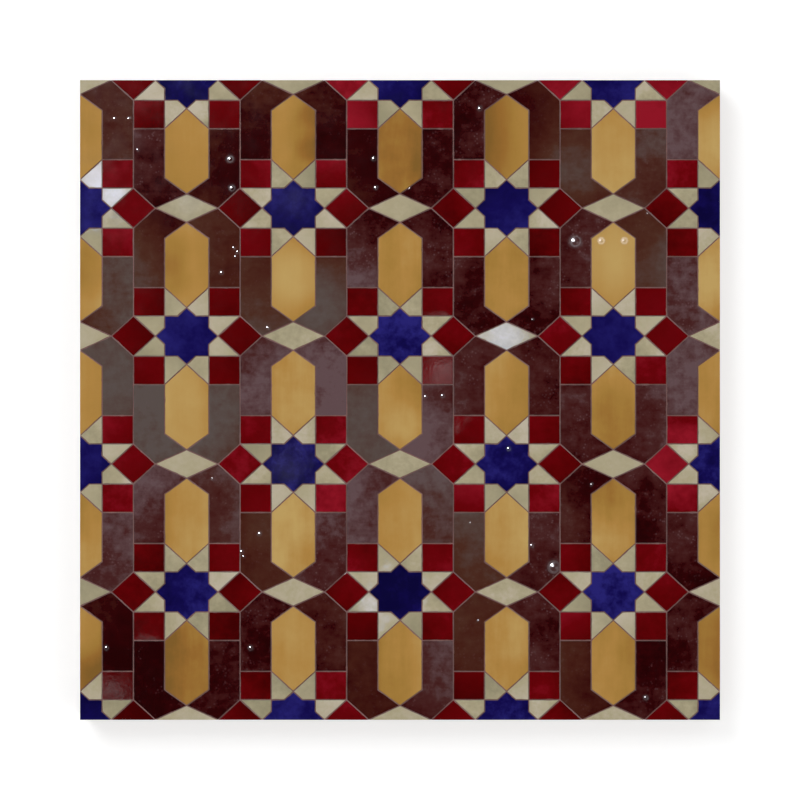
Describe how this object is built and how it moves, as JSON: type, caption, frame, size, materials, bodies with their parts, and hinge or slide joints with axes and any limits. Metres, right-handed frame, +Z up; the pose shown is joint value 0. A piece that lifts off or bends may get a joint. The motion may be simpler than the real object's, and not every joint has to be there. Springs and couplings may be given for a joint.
{
  "type": "zellige tile",
  "caption": "Square zellige mosaic panel of hand-cut glazed tesserae, with eight-pointed stars, kites, squares, long hexagons and bent arms set in one mortar bed.",
  "frame": {"origin": "on the floor under the panel's middle, in the plane of its back", "axes": "+Z straight up through the glazed faces, +X along the picture's rows to the right, +Y up the picture"},
  "size_m": [0.3052, 0.305, 0.018],
  "materials": {
    "cobalt_glaze": "glossy hand-brushed cobalt glaze on fired clay",
    "ivory_glaze": "glossy ivory glaze, a little uneven, on fired clay",
    "red_glaze": "glossy deep red glaze on fired clay",
    "amber_glaze": "glossy honey amber glaze on fired clay",
    "maroon_glaze": "glossy mottled oxblood and brown glaze on fired clay",
    "mortar": "matt mauve-grey mortar"
  },
  "bodies": {
    "root": {"blue_stars": "cobalt_glaze", "blue_half_stars": "cobalt_glaze", "blue_quarter_stars": "cobalt_glaze", "ivory_kites": "ivory_glaze", "ivory_lozenges": "ivory_glaze", "ivory_half_lozenges": "ivory_glaze", "ivory_quarter_lozenges": "ivory_glaze", "red_squares": "red_glaze", "red_diamonds": "red_glaze", "red_half_diamonds": "red_glaze", "amber_hexagons": "amber_glaze", "amber_half_hexagons": "amber_glaze", "maroon_arms": "maroon_glaze", "mortar_bed": "mortar"}
  },
  "joints": []
}
